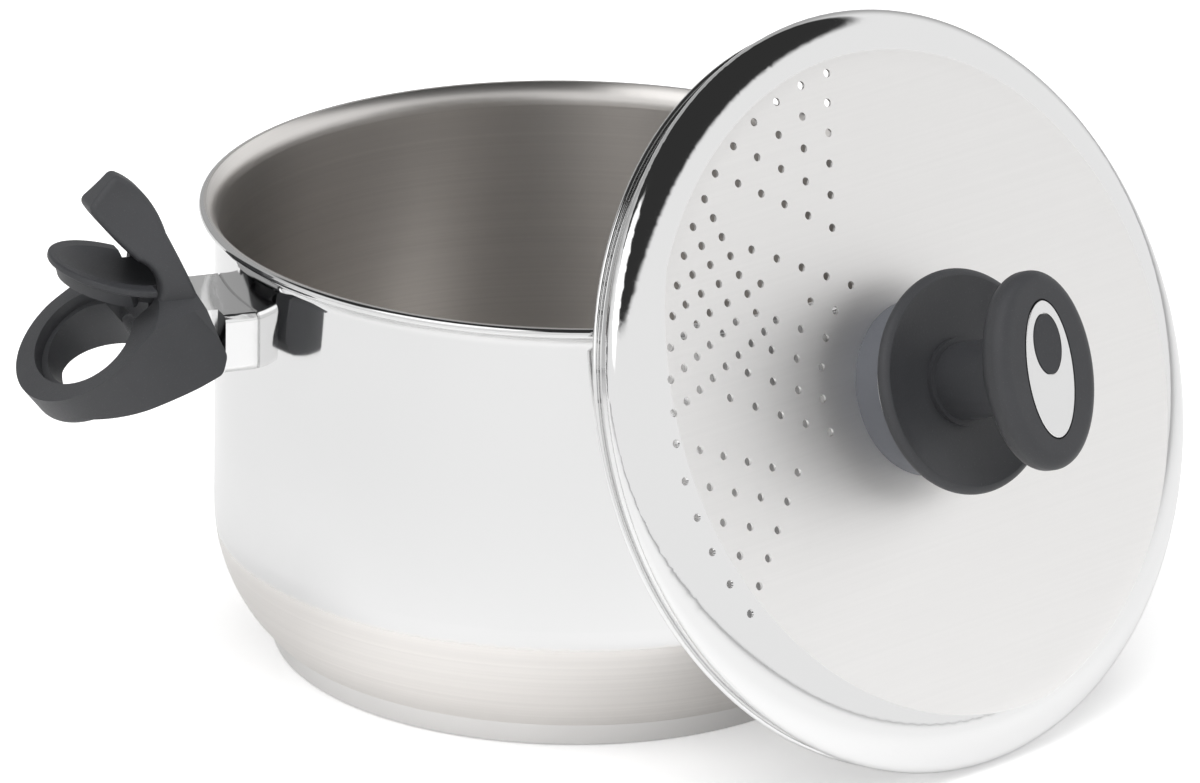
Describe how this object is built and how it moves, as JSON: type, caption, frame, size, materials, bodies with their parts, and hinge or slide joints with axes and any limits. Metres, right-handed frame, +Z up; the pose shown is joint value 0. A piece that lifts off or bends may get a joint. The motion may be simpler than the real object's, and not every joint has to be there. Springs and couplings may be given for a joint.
{
  "type": "pasta pot with strainer lid",
  "caption": "Stainless pot with a sandwich base, pivoting ring handles whose horns lock the lid, and a strainer lid with drain holes leaning on the rim.",
  "frame": {"origin": "centre of the base's underside, on the pot's axis", "axes": "+Z up along the pot's axis, the two side handles along -X (left) and +X (right)"},
  "size_m": [0.3791, 0.3038, 0.2322],
  "materials": {
    "pot_steel": "polished outside, fine circular brushing inside",
    "base_steel": "satin",
    "core_aluminium": "plain",
    "bracket_chrome": "bright",
    "pin_steel": "ground",
    "washer_nylon": "plain",
    "handle_black": "fine grain, matte",
    "rest_black": "fine grain, matte",
    "screw_steel": "plain",
    "lid_steel": "satin crown with a polished shoulder",
    "knob_grey": "smooth, slate grey",
    "trim_chrome": "bright",
    "knob_black": "fine grain, matte",
    "plate_chrome": "satin chrome with a bright edge",
    "inlay_black": "fine grain",
    "insert_brass": "plain",
    "washer_steel": "plain"
  },
  "bodies": {
    "pot": {"pot_shell": "pot_steel", "base_cap": "base_steel", "base_core": "core_aluminium", "left_bracket": "bracket_chrome", "left_thumb_rest": "rest_black", "left_rest_screw": "screw_steel", "right_bracket": "bracket_chrome", "right_thumb_rest": "rest_black", "right_rest_screw": "screw_steel"},
    "left_lift_handle": {"left_handle": "handle_black", "left_hinge_pin": "pin_steel", "left_hinge_washers": "washer_nylon"},
    "right_lift_handle": {"right_handle": "handle_black", "right_hinge_pin": "pin_steel", "right_hinge_washers": "washer_nylon"},
    "lid": {"lid_shell": "lid_steel", "knob_base_ring": "knob_grey", "knob_trim_ring": "trim_chrome", "knob_guard": "knob_black", "knob_body": "knob_black", "knob_plate": "plate_chrome", "knob_inlay": "inlay_black", "knob_screw": "screw_steel", "knob_insert": "insert_brass", "lid_washer": "washer_steel"}
  },
  "joints": [
    {"name": "left_handle_pivot", "type": "hinge", "parent": "pot", "child": "left_lift_handle", "pos_m": [-0.1415, 0, 0.125], "axis": [0, 1, 0], "range_deg": [0, 30.5]},
    {"name": "right_handle_pivot", "type": "hinge", "parent": "pot", "child": "right_lift_handle", "pos_m": [0.1415, 0, 0.125], "axis": [0, -1, 0], "range_deg": [0, 30.5]},
    {"name": "lid_lift", "type": "slide", "parent": "pot", "child": "lid", "axis": [0, 0, 1], "range_m": [0, 0.2]}
  ]
}
